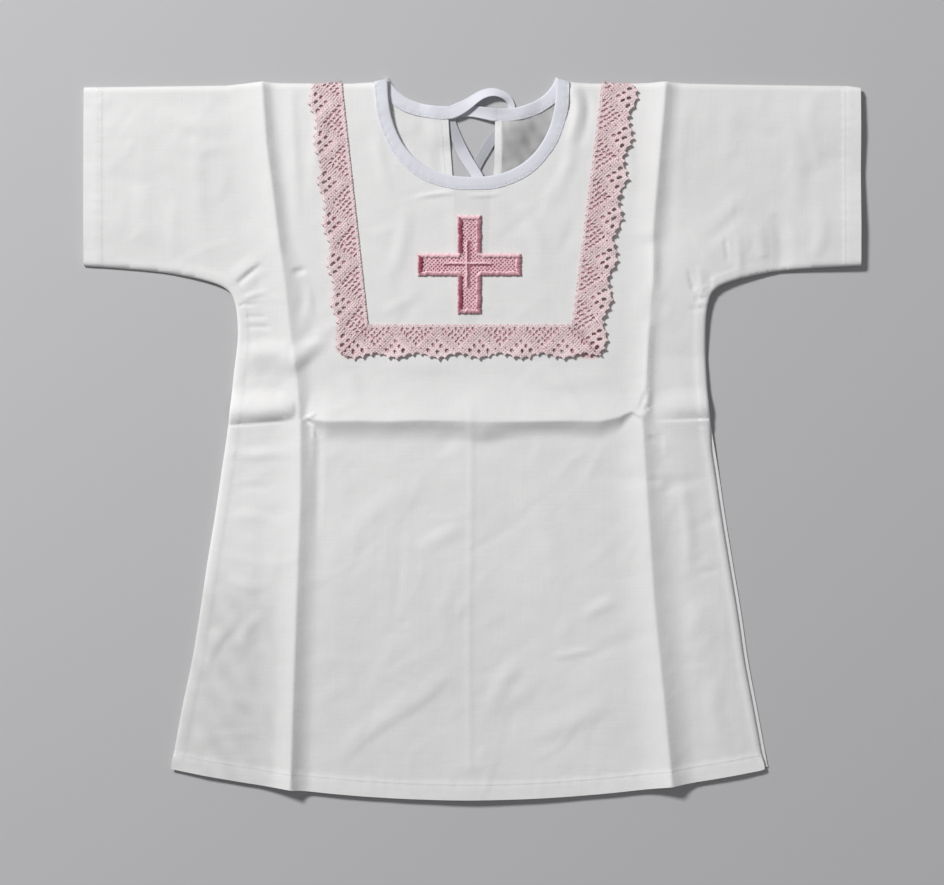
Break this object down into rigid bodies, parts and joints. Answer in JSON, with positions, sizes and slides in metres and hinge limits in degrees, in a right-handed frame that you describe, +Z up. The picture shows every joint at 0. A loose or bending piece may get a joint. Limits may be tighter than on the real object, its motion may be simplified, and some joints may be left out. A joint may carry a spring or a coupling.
{
  "type": "baptismal shirt laid flat",
  "caption": "Baby's white cotton baptismal shirt laid flat: wide short sleeves, flared body, bound neck with back slit and ties, pink lace in a U and an embroidered cross.",
  "frame": {"origin": "middle of the shirt's bounding box on the surface it lies on", "axes": "+X across the shirt from cuff to cuff, +Y from the hem towards the neck, +Z up off the surface, out of the front"},
  "size_m": [0.4818, 0.4464, 0.0103],
  "materials": {
    "shirt_cloth": "matte plain-weave white cotton, lightly creased",
    "binding_tape": "smooth cool-white cotton bias tape",
    "lace": "matte dusty-pink cotton bobbin lace",
    "cross_satin": "glossy rose satin stitch over net"
  },
  "bodies": {
    "root": {"front": "shirt_cloth", "back": "shirt_cloth", "binding_front": "binding_tape", "binding_back_left": "binding_tape", "binding_back_right": "binding_tape", "tie_left": "binding_tape", "tie_right": "binding_tape", "lace_left": "lace", "lace_bottom": "lace", "lace_right": "lace", "cross": "cross_satin"}
  },
  "joints": []
}
